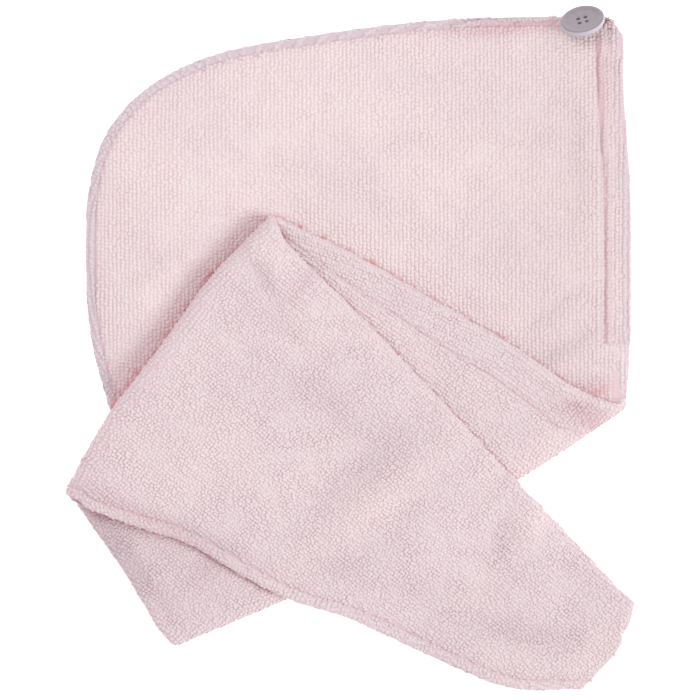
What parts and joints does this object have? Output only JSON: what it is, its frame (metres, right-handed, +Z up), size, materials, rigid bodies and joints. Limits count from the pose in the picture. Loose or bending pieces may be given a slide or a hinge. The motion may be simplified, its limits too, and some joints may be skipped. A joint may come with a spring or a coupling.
{
  "type": "hair turban towel",
  "caption": "Soft terry hair turban, a tapering sewn tube with a hemmed mouth and a button, lying folded with its tail doubled over the hood",
  "frame": {"origin": "on the surface that the towel lies on, under the middle of its outline", "axes": "+Z up from the surface, +Y along the hood from the tail's tip towards the button, +X towards the open mouth"},
  "size_m": [0.2772, 0.3342, 0.0253],
  "materials": {
    "terry": "pale pink microfibre terry, soft pile on both faces",
    "hem": "the same terry turned back and stitched flat",
    "button": "grey-mauve resin, smooth with a soft shine",
    "thread": "matt sewing thread"
  },
  "bodies": {
    "root": {"upper_panel": "terry", "lower_panel": "terry", "rim_hem_upper": "hem", "rim_hem_lower": "hem", "button": "button", "button_thread": "thread"}
  },
  "joints": []
}
